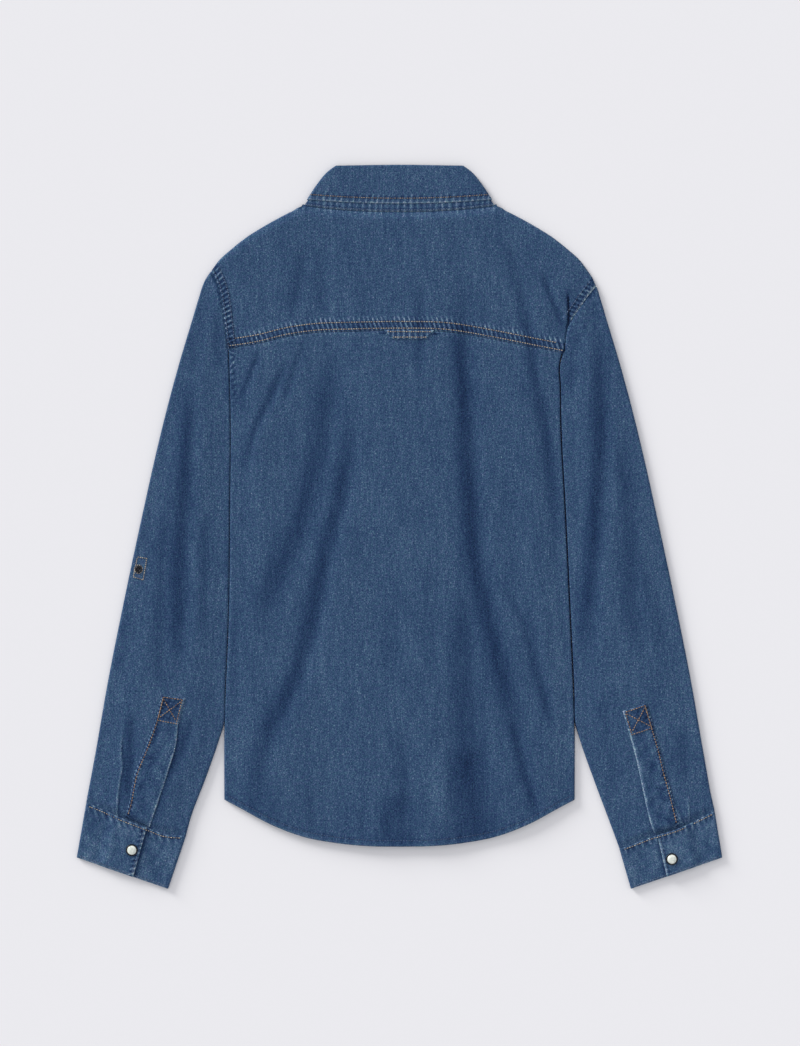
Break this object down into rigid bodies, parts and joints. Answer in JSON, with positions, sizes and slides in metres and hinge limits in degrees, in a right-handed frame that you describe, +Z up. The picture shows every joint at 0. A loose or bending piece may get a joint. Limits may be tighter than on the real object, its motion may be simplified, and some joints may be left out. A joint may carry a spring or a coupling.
{
  "type": "denim shirt",
  "caption": "Long-sleeved denim shirt with pointed back yoke, snap closures, curved hem and folded collar, laid flat on its front with its back up.",
  "frame": {"origin": "middle of the whole shirt's outline, on the surface that it lies on", "axes": "+X across the shirt to the right sleeve, +Y from hem to collar, +Z up out of the surface; the back is up"},
  "size_m": [0.646, 0.7244, 0.008],
  "materials": {
    "denim": "matte washed twill",
    "denim_front": "matte washed twill",
    "snap_metal": "dark, satin",
    "pearl": "pearly"
  },
  "bodies": {
    "root": {"back_body": "denim", "back_yoke": "denim", "front_left": "denim_front", "front_right": "denim_front", "sleeve_left": "denim", "sleeve_right": "denim", "cuff_left": "denim", "cuff_right": "denim", "placket_left": "denim", "placket_right": "denim", "collar_leaf": "denim", "collar_stand": "denim", "locker_loop": "denim", "tab_stud": "snap_metal", "cuff_snap_ring_left": "snap_metal", "cuff_snap_ring_right": "snap_metal", "cuff_snap_pearl_left": "pearl", "cuff_snap_pearl_right": "pearl", "front_snap_1": "pearl", "front_snap_2": "pearl", "front_snap_3": "pearl", "front_snap_4": "pearl", "front_snap_5": "pearl", "front_snap_6": "pearl", "front_snap_7": "pearl"}
  },
  "joints": []
}
